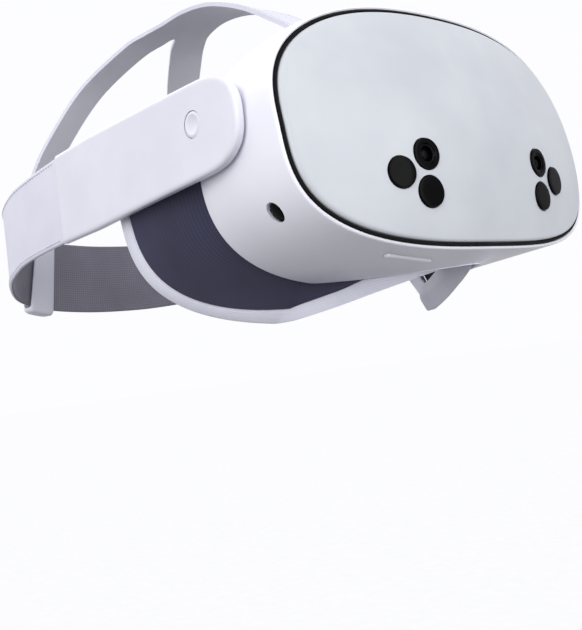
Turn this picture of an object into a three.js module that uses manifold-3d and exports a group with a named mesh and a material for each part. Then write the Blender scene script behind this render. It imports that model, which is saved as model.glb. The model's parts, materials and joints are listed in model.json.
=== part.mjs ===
// A virtual reality headset: a visor with its lenses, screen, cameras and face seal, and a head strap
// that tilts on two side pivots. Sizes are millimetres. Pieces are laid out in the visor's frame: x to the
// wearer's left, y from the front of the visor to the back of the head, z up from eye level. The whole
// group is then moved so that the origin is under the middle of the object, at its lowest point.
import * as THREE from "three";
import { mergeVertices } from "three/addons/utils/BufferGeometryUtils.js";
import Module from "manifold-3d";

const wasm = await Module();
wasm.setup();

// Overall sizes.
const overallDepth = 293.2;
const restHeight = 65.8;
const gap = 0.3;
const wall = 2.4;
const ringSteps = 52;

// The front cover: its outline and how far it bows forward.
const cover = {
  halfWidth: 87.4, top: 48.9, bottom: 46.4, topPower: 2.63, bottomPower: 3.03,
  sideBow: 16.8, sideBowFlat: 0.73, tallBow: 7.3, bowHeight: 44.65, foremostZ: -18.2, thickness: 2.2,
};
const gasket = { width: 1.3, depth: 2.6, setBack: 0.5 };
const lip = 1.6;

// The housing swells behind the cover and draws in at its rear edge: values at front, middle and rear.
const housing = {
  width: [cover.halfWidth + gasket.width + lip, cover.halfWidth + 3.6, cover.halfWidth + 0.6],
  top: [cover.top + gasket.width + lip, cover.top + 2.4, cover.top - 4.9],
  bottom: [cover.bottom + gasket.width + lip, cover.bottom + 5, cover.bottom + 7.2],
  sideRear: 72, bottomRear: 67, rearTurnsAt: -10, rearTurnHeight: 42, rearTurnPower: 1.6,
  noseHalf: 36, noseDepth: 53, nosePower: 1.1, noseRound: 6,
};

// The face seal's rear edge, where it meets the face.
const seal = {
  halfWidth: cover.halfWidth + 0.6, top: 43, bottom: 69, topPower: 2.6, bottomPower: 3.7,
  depth: 84, wrap: 52, wrapPower: 2.2, tilt: 13, tiltFrom: 5, tiltHeight: 60, tiltPower: 1.3,
  noseHalf: 42, noseRise: 17, noseFront: 19, nosePower: 1.15, noseRound: 5,
  band: 9, bandRadial: 10, shellWall: 2.2,
};

// Camera windows, in two clusters of three.
const windowRadius = 5.95;
const sensor = { radius: windowRadius, innerX: 34.9, outerX: 34.9 + 2.118 * windowRadius,
  topZ: -20.4 + 1.16 * windowRadius, middleZ: -20.4, bottomZ: -20.4 - 1.21 * windowRadius, depth: 2.6,
  proud: 0.25, barrelRadius: 0.7 * windowRadius };
const sideCamera = { y: 33, z: -29.5, radius: 3.2, outerX: cover.halfWidth - 3.9, length: 9 };

// The strap: arms, pivots, band, sliders and crown strap.
const pivot = { y: 61, z: 10, postRadius: 4, flangeRadius: 6.5,
  flangeX: cover.halfWidth - 5.2, capRadius: 5, capDepth: 1 };
const arm = { tipY: 34, taper: 0.17, taperLength: 110, endY: 178, roundLength: 24, roundPower: 2.6, half: 21,
  thickness: 4.2, z: 7.6, frontX: cover.halfWidth + 6.6, drawIn: 2.5, tongue: 12 };
const band = { half: arm.half - 0.5, tongueHalf: arm.half - 4.5, thickness: 2.2, widthOver: arm.frontX / 94 };
const slider = { width: 15, at: 53, border: 2.4, play: 1.5 };
const crown = { width: 29, thickness: 2, branchWidth: 19 };

// Optics and inner parts.
const lensRadius = 23.5;
const lens = { spacing: 63, radius: lensRadius, barrelRadius: lensRadius + 2.5, y: 70, thickness: 4, barrelFront: 49, z: 0 };
const shroud = { y: 63, thickness: 2, halfWidth: cover.halfWidth - 8.4, top: 36, bottom: 43 };
const rail = { radius: 1.5, z: lens.barrelRadius + 5, y: 57, half: shroud.halfWidth - 17 };
const fan = { x: 0, y: 30.5, z: 14, radius: 15, depth: 8, blades: 7 };
const board = { y: 26.2, thickness: 1.6 };
const chassis = { y: 22.4, thickness: 2.6, halfWidth: cover.halfWidth - 11.4, top: 33, bottom: 38 };
const screwX = chassis.halfWidth - 14;
const screwSpots = [[-screwX, 20], [screwX, 20], [-screwX, -26], [screwX, -26]];

const part = new THREE.Group();
part.position.set(0, -overallDepth / 2, restHeight);

const finish = {
  white: { color: 0xe9e9ef, roughness: 0.42 }, cover: { color: 0xd3d7db, roughness: 0.38 },
  black: { color: 0x0d0e11, roughness: 0.2 }, rubber: { color: 0x101114, roughness: 0.7 },
  fabric: { color: 0x33334a, roughness: 0.85 }, seal: { color: 0xdfe0e8, roughness: 0.7 },
  strap: { color: 0xdcdce6, roughness: 0.7 }, metal: { color: 0x9aa0a6, roughness: 0.4, metalness: 1 },
  board: { color: 0x1d5a3a, roughness: 0.5 }, dark: { color: 0x1b1c20, roughness: 0.55 },
  glass: { color: 0x8fa3b0, roughness: 0.05 },
};

function add(name, geometry, look, parent = part) {
  const mesh = new THREE.Mesh(geometry, new THREE.MeshStandardMaterial(finish[look]));
  mesh.name = name;
  parent.add(mesh);
  return mesh;
}

// Solids and back: manifold-3d only joins and cuts.
function solid(geometry) {
  const bare = geometry.index ? geometry.toNonIndexed() : geometry.clone();
  bare.deleteAttribute("normal");
  bare.deleteAttribute("uv");
  const merged = mergeVertices(bare, 1e-4);
  return new wasm.Manifold(new wasm.Mesh({ numProp: 3,
    vertProperties: new Float32Array(merged.attributes.position.array),
    triVerts: new Uint32Array(merged.index.array) }));
}
function geometryOf(manifold) {
  const mesh = manifold.getMesh();
  return new THREE.BufferGeometry()
    .setAttribute("position", new THREE.BufferAttribute(new Float32Array(mesh.vertProperties), 3))
    .setIndex(new THREE.BufferAttribute(new Uint32Array(mesh.triVerts), 1));
}
const cut = (geometry, ...tools) =>
  geometryOf(tools.reduce((left, tool) => left.subtract(solid(tool)), solid(geometry)));
const join = (geometry, ...others) =>
  geometryOf(others.reduce((sum, other) => sum.add(solid(other)), solid(geometry)));

// Simple shapes, already in place. A rod lies along one axis.
function block(x, y, z, width, depth, height) {
  return new THREE.BoxGeometry(width, depth, height).translate(x, y, z);
}
function rod(axis, from, to, a, b, radius, sides = 20) {
  const shape = new THREE.CylinderGeometry(radius, radius, to - from, sides);
  const middle = (from + to) / 2;
  if (axis === "x") return shape.rotateZ(-Math.PI / 2).translate(middle, a, b);
  if (axis === "z") return shape.rotateX(Math.PI / 2).translate(a, b, middle);
  return shape.translate(a, middle, b);
}
function extrudeY(shape, from, to, steps = 8) {
  const flat = new THREE.ExtrudeGeometry(shape, { depth: to - from, bevelEnabled: false, curveSegments: steps });
  return flat.rotateX(Math.PI / 2).translate(0, to, 0); // the shape's second axis becomes z
}

// Surfaces from rings of points. closedLoft joins the last ring to the first; cappedLoft ends in two fans.
function skin(rings, wrapRings) {
  const count = rings[0].length;
  const positions = rings.flat().flatMap((p) => [p.x, p.y, p.z]);
  const index = [];
  const last = wrapRings ? rings.length : rings.length - 1;
  for (let i = 0; i < last; i++)
    for (let j = 0; j < count; j++) {
      const a = i * count + j;
      const b = i * count + ((j + 1) % count);
      const c = ((i + 1) % rings.length) * count + j;
      const d = ((i + 1) % rings.length) * count + ((j + 1) % count);
      index.push(a, b, d, a, d, c);
    }
  if (!wrapRings)
    [0, rings.length - 1].forEach((i, end) => {
      const centre = positions.length / 3;
      const middle = rings[i].reduce((sum, p) => sum.add(p), new THREE.Vector3()).divideScalar(count);
      positions.push(middle.x, middle.y, middle.z);
      for (let j = 0; j < count; j++) {
        const a = i * count + j;
        const b = i * count + ((j + 1) % count);
        index.push(...(end ? [a, b, centre] : [b, a, centre]));
      }
    });
  const geometry = new THREE.BufferGeometry();
  geometry.setAttribute("position", new THREE.BufferAttribute(new Float32Array(positions), 3));
  geometry.setIndex(index);
  return outward(geometry);
}
function outward(geometry) {
  const p = geometry.attributes.position;
  const index = geometry.index.array;
  const [a, b, c] = [new THREE.Vector3(), new THREE.Vector3(), new THREE.Vector3()];
  let volume = 0;
  for (let i = 0; i < index.length; i += 3) {
    a.fromBufferAttribute(p, index[i]);
    b.fromBufferAttribute(p, index[i + 1]);
    c.fromBufferAttribute(p, index[i + 2]);
    volume += a.dot(b.cross(c));
  }
  if (volume < 0)
    for (let i = 0; i < index.length; i += 3) [index[i + 1], index[i + 2]] = [index[i + 2], index[i + 1]];
  return geometry;
}
const closedLoft = (rings) => skin(rings, true);
const cappedLoft = (rings) => skin(rings, false);

// A rounded outline seen from the front: evenly spaced points, the first at the bottom centre.
class Outline extends THREE.Curve {
  constructor(halfWidth, top, bottom, topPower, bottomPower) {
    super();
    Object.assign(this, { halfWidth, top, bottom, topPower, bottomPower });
    this.arcLengthDivisions = 1200;
  }
  getPoint(t) {
    const angle = 2 * Math.PI * t - Math.PI / 2;
    const [c, s] = [Math.cos(angle), Math.sin(angle)];
    const power = 2 / (s > 0 ? this.topPower : this.bottomPower);
    const height = s > 0 ? this.top : this.bottom;
    return new THREE.Vector3(this.halfWidth * Math.sign(c) * Math.abs(c) ** power, 0,
      height * Math.sign(s) * Math.abs(s) ** power);
  }
}
function ringOf(outline, depthOf, steps = ringSteps) {
  const points = outline.getSpacedPoints(steps).slice(0, steps);
  return points.map((p) => new THREE.Vector3(p.x, depthOf(p.x, p.z), p.z));
}
const rounded = (halfWidth, top, bottom) => new Outline(halfWidth, top, bottom, cover.topPower, cover.bottomPower);
function shapeOf(outline, steps = 40) {
  return new THREE.Shape(outline.getSpacedPoints(steps).slice(0, steps).map((p) => new THREE.Vector2(p.x, p.z)));
}

// The cover's bowed face: how far back it lies at a point of the front view.
function faceDepth(x, z) {
  const u = (x / cover.halfWidth) ** 2;
  const side = cover.sideBow * (cover.sideBowFlat * u + (1 - cover.sideBowFlat) * u * u);
  return side + cover.tallBow * ((z - cover.foremostZ) / cover.bowHeight) ** 2;
}
const threeWay = ([a, b, c], s) => a * (1 - s) * (1 - 2 * s) + b * 4 * s * (1 - s) + c * s * (2 * s - 1);

const roundedDistance = (x, radius) => Math.hypot(x, radius) - radius;
function housingRearDepth(x, z) {
  const down = Math.max(0, (housing.rearTurnsAt - z) / housing.rearTurnHeight);
  const edge = housing.sideRear - (housing.sideRear - housing.bottomRear) * Math.min(1, down ** housing.rearTurnPower);
  const across = roundedDistance(x, housing.noseRound) / housing.noseHalf;
  const nose = z < 0 ? Math.max(0, 1 - across) ** housing.nosePower : 0;
  return edge - housing.noseDepth * nose;
}
// A ring of the housing: share 0 is the front lip and 1 the rear edge, drawn in by inset.
function housingRing(share, inset = 0) {
  const [width, top, bottom] = [housing.width, housing.top, housing.bottom].map((v) => threeWay(v, share) - inset);
  const front = cover.thickness * 0.5;
  return ringOf(rounded(width, top, bottom), (x, z) => {
    const near = faceDepth(x, z) + front;
    return near + (housingRearDepth(x, z) - near) * share;
  });
}

function sealRing(grow = 0) {
  const outline = new Outline(seal.halfWidth + grow, seal.top + grow, seal.bottom + grow, seal.topPower, seal.bottomPower);
  const depthAt = (x, z) => seal.depth + seal.wrap * (Math.abs(x) / seal.halfWidth) ** seal.wrapPower
    - seal.tilt * Math.max(0, (-z - seal.tiltFrom) / seal.tiltHeight) ** seal.tiltPower;
  return ringOf(outline, depthAt)
    .map((p) => {
      const across = roundedDistance(p.x, seal.noseRound) / seal.noseHalf;
      if (p.z > 0 || across >= 1) return p;
      const edgeDepth = depthAt(seal.noseHalf, -seal.bottom);
      p.y = seal.noseFront + (edgeDepth - seal.noseFront) * across ** seal.nosePower;
      p.z += seal.noseRise * (1 - across);
      return p;
    });
}
// The band of the seal is narrow round the face and takes the whole wall beside the nose.
function sealBorder(front, rear) {
  return rear.map((r, j) => {
    const span = front[j].distanceTo(r);
    const beside = r.z < 0 ? THREE.MathUtils.smoothstep(seal.noseHalf - 6 - Math.abs(r.x), 0, 14) : 0;
    const width = THREE.MathUtils.lerp(seal.band, span - 1.5, beside);
    return r.clone().lerp(front[j], Math.min(width, span - 1.5) / span);
  });
}
const towardsMiddle = (ring, distance) =>
  ring.map((p) => {
    const inward = new THREE.Vector3(-p.x, 0, -p.z + 6).normalize();
    return p.clone().addScaledVector(inward, distance);
  });

// Bands: a rounded flat section carried along a path. Each station gives centre, tangent, outward and up.
function station(centre, tangent, outward) {
  const up = new THREE.Vector3().crossVectors(tangent, outward).normalize();
  return { centre, out: new THREE.Vector3().crossVectors(up, tangent).normalize(), up };
}
function bandRing({ centre, out, up }, half, thickness) {
  const t = thickness / 2;
  const soft = Math.min(t * 0.6, half * 0.3);
  const corners = [[t, -half + soft], [t, half - soft], [t - soft, half], [soft - t, half],
    [-t, half - soft], [-t, -half + soft], [soft - t, -half], [t - soft, -half]];
  return corners.map(([o, u]) => centre.clone().addScaledVector(out, o).addScaledVector(up, u));
}

// Front cover and housing.
function buildCover() {
  const edge = rounded(cover.halfWidth, cover.top, cover.bottom);
  const shrunk = (k) => rounded(cover.halfWidth * k, cover.top * k, cover.bottom * k);
  const shares = [0.4, 0.8];
  const front = shares.map((k) => ringOf(shrunk(k), faceDepth));
  const back = shares.map((k) => ringOf(shrunk(k), (x, z) => faceDepth(x, z) + cover.thickness)).reverse();
  const rim = [ringOf(edge, (x, z) => faceDepth(x, z) + 0.5),
    ringOf(edge, (x, z) => faceDepth(x, z) + cover.thickness)];
  const holes = sensorSpots().map(({ x, z }) => rod("y", -5, 60, x, z, sensor.radius + gap));
  add("front_cover", cut(cappedLoft([...front, ...rim, ...back]), ...holes), "cover");
}
function sensorSpots() {
  const spots = [];
  for (const [side, sign] of [["right", -1], ["left", 1]]) {
    spots.push({ side, place: "top", x: sign * sensor.innerX, z: sensor.topZ });
    spots.push({ side, place: "outer", x: sign * sensor.outerX, z: sensor.middleZ });
    spots.push({ side, place: "bottom", x: sign * sensor.innerX, z: sensor.bottomZ });
  }
  return spots;
}
function buildSensors() {
  const kind = { top: "tracking_camera", outer: "infrared_emitter", bottom: "colour_camera" };
  for (const { side, place, x, z } of sensorSpots()) {
    const front = faceDepth(x - Math.sign(x) * sensor.radius * 0.5, z) - sensor.proud;
    add(`sensor_window_${side}_${place}`, rod("y", front, front + sensor.depth, x, z, sensor.radius, 28), "black");
    add(`${kind[place]}_${side}`, rod("y", front + sensor.depth + gap, chassis.y - gap, x, z, sensor.barrelRadius, 12),
      "dark");
  }
}
function buildGasket() {
  const rings = [[gap, 0], [gasket.width, 0], [gasket.width, gasket.depth], [gap, gasket.depth]].map(([grow, back]) =>
    ringOf(rounded(cover.halfWidth + grow, cover.top + grow, cover.bottom + grow),
      (x, z) => faceDepth(x, z) + gasket.setBack + back));
  add("cover_gasket", closedLoft(rings), "rubber");
}
const rocker = { x: -34, y: 19, z: -cover.bottom - 3, length: 24, width: 3, depth: 5, slope: 0.108 };
const powerButton = { x: cover.halfWidth - 0.4, y: 42, z: -24, length: 12, width: 4, depth: 5 };
const port = { x: cover.halfWidth - 0.6, y: 57, z: -24, width: 3.2, length: 9, depth: 7 };
const strapSlot = { from: 26, to: 55, half: 17 };
const mouthX = cover.halfWidth + 2.6;
const pastHousing = cover.halfWidth + 12;

// The rocker follows the slope of the housing's underside; grow widens it for its slot.
function rockerBlock(grow, height) {
  return new THREE.BoxGeometry(rocker.length + grow, rocker.width + grow, height).rotateY(rocker.slope)
    .translate(rocker.x, rocker.y, rocker.z + rocker.depth / 2 - 1);
}
function buildHousing() {
  const outer = [0, 0.06, 0.2, 0.42, 0.66, 0.88, 1].map((s) => housingRing(s));
  const inner = [1, 0.75, 0.52, 0.32, 0].map((s) => housingRing(s, s > 0 ? wall : lip - gap));
  const tools = [
    rod("x", -pastHousing, pastHousing, sideCamera.y, sideCamera.z, sideCamera.radius + gap),
    rod("x", -pastHousing, pastHousing, pivot.y, pivot.z, pivot.postRadius + gap),
    block(0, (strapSlot.from + strapSlot.to) / 2, cover.top - 3.9, strapSlot.half * 2, strapSlot.to - strapSlot.from, 30),
    rockerBlock(2 * gap, 14),
    block(mouthX - 4, powerButton.y, powerButton.z, 20, powerButton.length + 2 * gap, powerButton.width + 2 * gap),
    block(mouthX - 2, port.y, port.z, 16, port.width + 2 * gap, port.length + 2 * gap),
  ];
  add("main_housing", cut(closedLoft([...outer, ...inner]), ...tools), "white");
}
function buildSideCameras() {
  for (const [side, sign] of [["right", -1], ["left", 1]]) {
    const shape = rod("x", 0, sideCamera.length, sideCamera.y, sideCamera.z, sideCamera.radius, 20);
    add(`side_camera_${side}`, shape.translate(sign > 0 ? sideCamera.outerX - sideCamera.length : -sideCamera.outerX, 0, 0), "black");
  }
}

// Face seal.
function buildSeal() {
  const inset = wall + gap + 0.4;
  const front = housingRing(1, inset + 1.4).map((p) => p.setY(p.y - 3));
  const mouth = housingRing(1, inset).map((p) => p.setY(p.y + 0.5));
  const rear = sealRing();
  const border = sealBorder(mouth, rear);
  const shellEnd = border.map((p, j) => p.clone().lerp(mouth[j], 0.3 / Math.max(1, p.distanceTo(mouth[j]))));
  const inwards = (ring) => towardsMiddle(ring, seal.shellWall);
  add("seal_shell", closedLoft([front, mouth, shellEnd, inwards(shellEnd), inwards(mouth), inwards(front)]), "fabric");
  const cushionFront = border.map((p, j) => p.clone().lerp(rear[j], 0.3 / p.distanceTo(rear[j])));
  const middle = cushionFront.map((p, j) => p.clone().lerp(rear[j], 0.6));
  const flatFoot = (ring) => ring.map((p) => p.setZ(Math.max(p.z, -restHeight)));
  const rings = [cushionFront, towardsMiddle(middle, -0.8), towardsMiddle(rear, 1.2),
    towardsMiddle(rear, seal.bandRadial), towardsMiddle(middle, seal.bandRadial + 1.5),
    towardsMiddle(cushionFront, seal.shellWall)];
  add("face_cushion", closedLoft(rings.map(flatFoot)), "seal");
}

// Optics.
function buildOptics() {
  for (const [side, sign] of [["right", -1], ["left", 1]]) {
    const x = (sign * lens.spacing) / 2;
    const barrel = rod("y", lens.barrelFront, lens.y + lens.thickness, x, lens.z, lens.barrelRadius, 28);
    const throat = rod("y", lens.barrelFront - 1, lens.y - 2, x, lens.z, lens.radius - 2, 28);
    const seat = rod("y", lens.y - gap, lens.y + lens.thickness + 1, x, lens.z, lens.radius + gap, 28);
    const lug = block(x, rail.y, rail.z - 1, 12, 8, 11);
    const bore = rod("x", x - 10, x + 10, rail.y, rail.z, rail.radius + gap, 12);
    add(`lens_carrier_${side}`, cut(join(cut(barrel, throat), lug), seat, throat, bore), "dark");
    add(`lens_${side}`, rod("y", lens.y, lens.y + lens.thickness, x, lens.z, lens.radius, 28), "glass");
  }
  add("lens_rail", rod("x", -rail.half, rail.half, rail.y, rail.z, rail.radius, 12), "metal");
  const racetrack = (x) => new THREE.Shape(new THREE.EllipseCurve(x, 0, lens.barrelRadius + 4, lens.barrelRadius + 1.5)
    .getSpacedPoints(28).slice(0, 28));
  const plate = extrudeY(shapeOf(rounded(shroud.halfWidth, shroud.top, shroud.bottom)), shroud.y,
    shroud.y + shroud.thickness);
  const openings = [-1, 1].map((s) => extrudeY(racetrack((s * lens.spacing) / 2), shroud.y - 5, shroud.y + 10));
  const railRoom = block(0, rail.y, rail.z, 2 * rail.half, 2 * (rail.radius + gap), 2 * (rail.radius + gap));
  const proximity = block(0, shroud.y, 14, 5 + 2 * gap, 10, 3 + 2 * gap);
  add("eyepiece_shroud", cut(plate, ...openings, railRoom, proximity), "dark");
  add("proximity_sensor", block(0, shroud.y + 0.8, 14, 5, 2.6, 3), "black");
  add("display_panel", block(0, 42, 0, 2 * shroud.halfWidth - 30, 3, 56), "black");
}

// Electronics behind the cover.
function buildInside() {
  const plate = extrudeY(shapeOf(rounded(chassis.halfWidth, chassis.top, chassis.bottom), 28), chassis.y,
    chassis.y + chassis.thickness);
  const screwHoles = screwSpots.map(([x, z]) => rod("y", 10, 40, x, z, 1.6, 10));
  add("chassis_plate", cut(plate, ...screwHoles), "metal");
  add("main_board", cut(block(0, board.y, -17, 2 * chassis.halfWidth - 14, board.thickness, 24), ...screwHoles), "board");
  add("battery_pack", block(0, 33.5, -22, 84, 11, 30), "dark");
  const ring = rod("y", fan.y - fan.depth / 2, fan.y + fan.depth / 2, fan.x, fan.z, fan.radius, 28);
  const well = rod("y", fan.y - fan.depth / 2 + 1.2, fan.y + fan.depth, fan.x, fan.z, fan.radius - 1.2, 28);
  add("fan_housing", cut(ring, well), "dark");
  const hub = rod("y", fan.y - 2, fan.y + 3.4, fan.x, fan.z, 4.5, 14);
  const blades = Array.from({ length: fan.blades }, (_, i) => {
    const blade = new THREE.BoxGeometry(8, 4.2, 0.8).translate(8, 0, 0).rotateX(0.25);
    return blade.rotateY((i * 2 * Math.PI) / fan.blades).translate(fan.x, fan.y + 0.6, fan.z);
  });
  add("fan_rotor", join(hub, ...blades), "dark");
  for (const [i, [x, z]] of screwSpots.entries()) {
    const head = rod("y", board.y + board.thickness / 2 + gap + 0.2, board.y + 3, x, z, 2.6, 12);
    const shank = rod("y", chassis.y - 1, board.y + 2, x, z, 1.2, 10);
    add(`chassis_screw_${i + 1}`, join(head, shank), "metal");
  }
  for (const [side, sign] of [["right", -1], ["left", 1]])
    add(`speaker_${side}`, rod("x", -2.5, 2.5, 50, 22, 8, 16).translate(sign * (0.881 * cover.halfWidth - 2.5), 0, 0), "dark");
}

// Buttons and port.
function buildControls() {
  add("volume_rocker", rockerBlock(0, rocker.depth), "white");
  add("power_button", block(powerButton.x, powerButton.y, powerButton.z, powerButton.depth, powerButton.length,
    powerButton.width), "white");
  const socket = block(port.x - port.depth / 2, port.y, port.z, port.depth, port.width, port.length);
  const tongueRoom = block(port.x, port.y, port.z, port.depth, port.width - 1.2, port.length - 1.2);
  add("charging_port", cut(socket, tongueRoom), "metal");
}

// Head strap.
function armX(y) {
  return arm.frontX - arm.drawIn * Math.max(0, (y - pivot.y) / (arm.endY - pivot.y)) ** 1.6;
}
function armStations(ys) {
  return ys.map((y) => {
    const tangent = new THREE.Vector3(armX(y + 1) - armX(y - 1), 2, 0).normalize();
    return station(new THREE.Vector3(armX(y), y, arm.z), tangent, new THREE.Vector3(1, 0, 0));
  });
}
function armHalf(y) {
  const t = Math.min(1, (y - arm.tipY) / arm.roundLength);
  const narrowed = 1 - arm.taper * Math.max(0, 1 - (y - arm.tipY) / arm.taperLength);
  return arm.half * narrowed * (1 - (1 - t) ** arm.roundPower) ** (1 / arm.roundPower);
}
const mirrored = (points) => points.map(([x, y, z]) => new THREE.Vector3(-x, y, z));
const behindArms = [[88.2, 218, 7.2], [86.5, 242, 5], [81.5, 264.5, 0], [69, 281.5, -7], [48.5, 288.8, -12],
  [24, 291.5, -14.4], [0, 292, -15]].map(([x, y, z]) => [x * band.widthOver, y, z]);
const bandPoints = [[armX(166), 166, arm.z], [armX(arm.endY), arm.endY, arm.z], ...behindArms];
const bandCurve = new THREE.CatmullRomCurve3([...mirrored(bandPoints),
  ...bandPoints.slice(0, -1).reverse().map(([x, y, z]) => new THREE.Vector3(x, y, z))]);
bandCurve.arcLengthDivisions = 2000;

function bandStation(t) {
  const tangent = bandCurve.getTangentAt(t);
  const centre = bandCurve.getPointAt(t);
  const outward = new THREE.Vector3(-tangent.y, tangent.x, 0).normalize();
  return station(centre, tangent, outward);
}
function buildArms() {
  const ys = [0.3, 1.6, 4.5, 9, 15, 24, 40, 70, 100, 125, arm.endY - arm.tipY].map((d) => arm.tipY + d);
  const plate = cappedLoft(armStations(ys).map((s, i) => bandRing(s, armHalf(ys[i]), arm.thickness)));
  const pocketYs = [arm.endY - arm.tongue - gap, arm.endY + 2];
  const pocket = cappedLoft(armStations(pocketYs).map((s) => bandRing(s, band.tongueHalf + gap, band.thickness + 2 * gap)));
  const faceX = arm.frontX + arm.thickness / 2;
  const postHole = rod("x", pivot.flangeX, faceX - pivot.capDepth - gap - 0.4, pivot.y, pivot.z, pivot.postRadius + gap);
  const capSeat = rod("x", faceX - pivot.capDepth - gap, pastHousing, pivot.y, pivot.z, pivot.capRadius + gap, 24);
  const left = cut(plate, pocket, postHole, capSeat);
  const cap = rod("x", faceX - pivot.capDepth, faceX, pivot.y, pivot.z, pivot.capRadius, 24);
  const post = join(rod("x", pivot.flangeX - 1.2, faceX - pivot.capDepth - 2 * gap - 0.6, pivot.y, pivot.z, pivot.postRadius),
    rod("x", pivot.flangeX - 2.4, pivot.flangeX, pivot.y, pivot.z, pivot.flangeRadius));
  const other = (geometry) => outward(mergeVertices(bare(geometry.clone().scale(-1, 1, 1)), 1e-4));
  for (const [name, shape, look] of [["strap_arm", left, "white"], ["arm_cap", cap, "white"], ["pivot_post", post, "metal"]]) {
    add(`${name}_left`, shape, look);
    add(`${name}_right`, other(shape), look);
  }
}
function bare(geometry) {
  geometry.deleteAttribute("normal");
  geometry.deleteAttribute("uv");
  return geometry;
}
function buildBand() {
  const length = bandCurve.getLength();
  const tongueShare = (arm.tongue + 2 * gap) / length;
  const shares = [0, tongueShare, tongueShare + 0.004];
  for (let i = 1; i < 44; i++) shares.push(tongueShare + 0.004 + ((1 - 2 * tongueShare - 0.008) * i) / 44);
  shares.push(1 - tongueShare - 0.004, 1 - tongueShare, 1);
  const half = (t) => (t <= tongueShare || t >= 1 - tongueShare ? band.tongueHalf : band.half);
  add("rear_band", cappedLoft(shares.map((t) => bandRing(bandStation(t), half(t), band.thickness))), "strap");
}
// The share of the band where it is as far from the middle as the slider.
function sliderShare() {
  let [low, high] = [0, 0.5];
  for (let i = 0; i < 40; i++) {
    const middle = (low + high) / 2;
    if (bandCurve.getPointAt(middle).x < -slider.at) low = middle;
    else high = middle;
  }
  return low;
}
function buildSliders() {
  const share = sliderShare();
  const step = slider.width / 2 / bandCurve.getLength();
  const outer = [-1, 0, 1].map((k) => bandRing(bandStation(share + k * step), band.half + slider.play + slider.border,
    band.thickness + 2 * (slider.play + slider.border * 0.6)));
  const hole = [-1.3, 0, 1.3].map((k) => bandRing(bandStation(share + k * step), band.half + slider.play,
    band.thickness + 2 * slider.play));
  const right = cut(cappedLoft(outer), cappedLoft(hole));
  add("strap_slider_right", right, "strap");
  add("strap_slider_left", outward(mergeVertices(bare(right.clone().scale(-1, 1, 1)), 1e-4)), "strap");
}
const crownLift = cover.top - 48.9;
const crownPoints = [[36.5, 44], [46, 49.4], [56, 52.1], [66, 55.8], [80, 64], [98, 77], [122, 93], [147, 104.5],
  [170, 109.5], [193, 108.5]].map(([y, z]) => [y, z + crownLift]);
const branchFoot = band.half - 5;
const branchPoints = [[-8, 195, 108.5], [-17, 217, 103.5], [-31, 243, 88], [-43, 259, 67], [-53, 271.5, 44], [-58.5, 281, branchFoot]]
  .map(([x, y, z]) => [x, y, z + (crownLift * (z - branchFoot)) / (108.5 - branchFoot)]);
const headMiddle = new THREE.Vector3(0, 180, 10);

function buildCrown() {
  const curve = new THREE.CatmullRomCurve3(crownPoints.map(([y, z]) => new THREE.Vector3(0, y, z)));
  const steps = 20;
  const rings = Array.from({ length: steps + 1 }, (_, i) => {
    const tangent = curve.getTangentAt(i / steps);
    const outward = new THREE.Vector3(0, -tangent.z, tangent.y);
    const half = crown.width / 2 + 4 * THREE.MathUtils.smoothstep(i / steps, 0.75, 1);
    return bandRing(station(curve.getPointAt(i / steps), tangent, outward), half, crown.thickness);
  });
  add("top_strap", cappedLoft(rings), "strap");
  const branch = new THREE.CatmullRomCurve3(branchPoints.map((p) => new THREE.Vector3(...p)));
  const branchRings = Array.from({ length: 15 }, (_, i) => {
    const centre = branch.getPointAt(i / 14);
    return bandRing(station(centre, branch.getTangentAt(i / 14), centre.clone().sub(headMiddle)),
      crown.branchWidth / 2, crown.thickness);
  });
  const clear = block(0, 195 - 50, 100 + crownLift, 60, 98 + 2 * 1.4, 60);
  const right = cut(cappedLoft(branchRings), clear, block(30 - gap / 2, 220, 100 + crownLift, 60, 120, 80));
  add("crown_branch_right", right, "strap");
  add("crown_branch_left", outward(mergeVertices(bare(right.clone().scale(-1, 1, 1)), 1e-4)), "strap");
  add("strap_anchor_bar", rod("x", -strapSlot.half + 1, strapSlot.half - 1, 50, 44.5 + crownLift, 1.6, 12), "metal");
}

buildCover();
buildSensors();
buildGasket();
buildHousing();
buildSideCameras();
buildSeal();
buildOptics();
buildInside();
buildControls();
buildArms();
buildBand();
buildSliders();
buildCrown();

export default part;
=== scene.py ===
import bpy
import bmesh
import json
import math
import numpy as np
from mathutils import Matrix, Vector


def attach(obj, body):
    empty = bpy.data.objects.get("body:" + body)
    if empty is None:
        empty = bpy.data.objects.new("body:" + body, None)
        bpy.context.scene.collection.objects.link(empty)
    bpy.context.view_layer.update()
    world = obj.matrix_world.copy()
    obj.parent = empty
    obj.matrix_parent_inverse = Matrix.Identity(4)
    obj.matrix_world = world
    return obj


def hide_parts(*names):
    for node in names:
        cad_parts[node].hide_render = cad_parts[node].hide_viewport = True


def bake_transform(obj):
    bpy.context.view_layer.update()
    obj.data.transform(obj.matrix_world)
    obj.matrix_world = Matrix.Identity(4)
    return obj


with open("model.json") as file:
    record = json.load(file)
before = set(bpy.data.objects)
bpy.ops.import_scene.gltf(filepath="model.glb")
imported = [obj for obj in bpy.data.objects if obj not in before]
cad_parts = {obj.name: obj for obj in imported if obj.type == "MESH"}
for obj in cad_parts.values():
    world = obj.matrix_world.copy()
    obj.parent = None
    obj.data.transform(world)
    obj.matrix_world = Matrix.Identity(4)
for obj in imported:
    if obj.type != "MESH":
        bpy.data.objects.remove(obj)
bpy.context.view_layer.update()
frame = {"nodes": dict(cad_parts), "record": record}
nodes = frame["nodes"]

# Shapes are drawn in millimetres from the middle of the front cover at eye level, then put in the frame.
floorToEye = 65.8
frontToMiddle = 146.6


def place(points):
    p = np.asarray(points, float).reshape(-1, 3)
    return np.c_[p[:, 0], p[:, 1] - frontToMiddle, p[:, 2] + floorToEye] / 1000


# Finishes, each made from shader nodes.

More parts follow.
